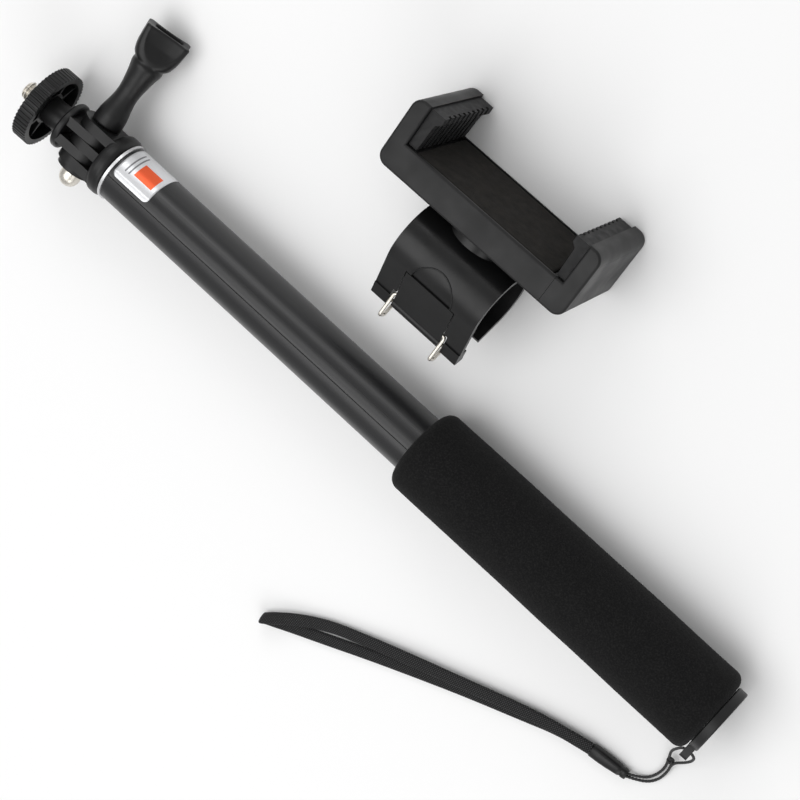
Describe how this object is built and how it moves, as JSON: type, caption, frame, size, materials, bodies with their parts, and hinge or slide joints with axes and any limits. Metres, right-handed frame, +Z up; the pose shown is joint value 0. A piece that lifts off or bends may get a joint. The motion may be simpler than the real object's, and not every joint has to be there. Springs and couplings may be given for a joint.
{
  "type": "telescopic selfie stick",
  "caption": "Telescopic hand stick with a foam grip, tilting screw mount, wrist strap and a loose spring phone holder with a latching tube clamp.",
  "frame": {"origin": "bottom centre of the bounding box of the stick and the holder, on the floor that they lie on; the wrist strap isn't counted", "axes": "+X along the stick towards its head, +Z up from the floor; the phone holder lies on the -Y side and the wrist strap on the +Y side"},
  "size_m": [0.2858, 0.183, 0.0352],
  "materials": {
    "tube_black": "satin black anodised aluminium",
    "ring_chrome": "polished",
    "inner_plastic": "natural acetal",
    "grip_foam": "black foam sleeve, matt",
    "cap_plastic": "moulded, fine grain",
    "label_foil": "brushed foil with a printed band",
    "thin_cord": "twisted black cord",
    "strap_braid": "flat braided black tape",
    "head_plastic": "glass-filled nylon, satin",
    "bright_steel": "nickel plated",
    "holder_plastic": "fine spark-eroded grain",
    "bed_foam": "thin dark foam sheet",
    "jaw_rubber": "ribbed soft rubber",
    "clamp_plastic": "half-gloss moulded"
  },
  "bodies": {
    "handle": {"outer_tube": "tube_black", "mouth_ring": "ring_chrome", "bush_1": "inner_plastic", "foam_grip": "grip_foam", "end_cap": "cap_plastic", "label": "label_foil", "cord_inner": "thin_cord", "cord_outer": "thin_cord", "cord_knot": "thin_cord", "strap_joiner": "cap_plastic", "strap_loop": "strap_braid"},
    "stage_2": {"tube_2": "tube_black", "bush_2": "inner_plastic", "sleeve_2": "inner_plastic"},
    "stage_3": {"tube_3": "tube_black", "bush_3": "inner_plastic", "sleeve_3": "inner_plastic"},
    "head": {"tube_4": "tube_black", "sleeve_4": "inner_plastic", "head_base": "head_plastic", "acorn_nut": "bright_steel"},
    "adapter": {"tripod_adapter": "head_plastic", "camera_stud": "bright_steel"},
    "wheel": {"lock_wheel": "head_plastic"},
    "knob": {"thumb_knob": "head_plastic", "clamp_bolt": "bright_steel"},
    "holder": {"cradle_body": "holder_plastic", "deck_plate": "holder_plastic", "floor_pad": "bed_foam", "jaw_pad_fixed": "jaw_rubber", "holder_screw": "bright_steel", "spring_a": "bright_steel", "spring_b": "bright_steel"},
    "jaw": {"moving_jaw": "holder_plastic", "jaw_pad_moving": "jaw_rubber", "jaw_panel": "holder_plastic", "guide_rod_a": "bright_steel", "guide_rod_b": "bright_steel", "rod_clip_a": "bright_steel", "rod_clip_b": "bright_steel"},
    "clamp": {"clamp_shell": "clamp_plastic", "lever_pin": "bright_steel"},
    "lever": {"latch_lever": "clamp_plastic"},
    "bail": {"wire_bail": "bright_steel"}
  },
  "joints": [
    {"name": "stage_2_slide", "type": "slide", "parent": "handle", "child": "stage_2", "axis": [1, 0, 0], "range_m": [0, 0.194]},
    {"name": "stage_3_slide", "type": "slide", "parent": "stage_2", "child": "stage_3", "axis": [1, 0, 0], "range_m": [0, 0.188]},
    {"name": "stage_4_slide", "type": "slide", "parent": "stage_3", "child": "head", "axis": [1, 0, 0], "range_m": [0, 0.181]},
    {"name": "mount_tilt", "type": "hinge", "parent": "head", "child": "adapter", "pos_m": [0.11481, 0.0375, 0.014], "axis": [0, 0.9871, 0.1599], "range_deg": [-75.5, 84.5]},
    {"name": "wheel_spin", "type": "hinge", "parent": "adapter", "child": "wheel", "pos_m": [0.13325, 0.03727, 0.01543], "axis": [0.9969, -0.0125, 0.0775], "continuous": true},
    {"name": "knob_turn", "type": "hinge", "parent": "head", "child": "knob", "pos_m": [0.11481, 0.0375, 0.014], "axis": [0, 0.9871, 0.1599], "continuous": true},
    {"name": "holder_lift", "type": "slide", "parent": "handle", "child": "holder", "axis": [0, 0, 1], "range_m": [0, 0.12]},
    {"name": "jaw_slide", "type": "slide", "parent": "holder", "child": "jaw", "axis": [-1, 0, 0], "range_m": [0, 0.028], "stiffness_N_per_m": 200, "springref_m": -0.02, "deforming": ["spring_a", "spring_b"]},
    {"name": "clamp_swivel", "type": "hinge", "parent": "holder", "child": "clamp", "pos_m": [-0.00319, -0.0276, 0.0197], "axis": [0, -1, 0], "continuous": true},
    {"name": "lever_open", "type": "hinge", "parent": "clamp", "child": "lever", "pos_m": [-0.00319, 0.00415, 0.02264], "axis": [-1, 0, 0], "range_deg": [0, 120]},
    {"name": "bail_swing", "type": "hinge", "parent": "lever", "child": "bail", "pos_m": [-0.00319, 0.00095, 0.02428], "axis": [-1, 0, 0], "range_deg": [-150, 0]}
  ],
  "couplings": [
    {"joint": "bail_swing", "follows": "lever_open", "ratio": -1.25}
  ]
}
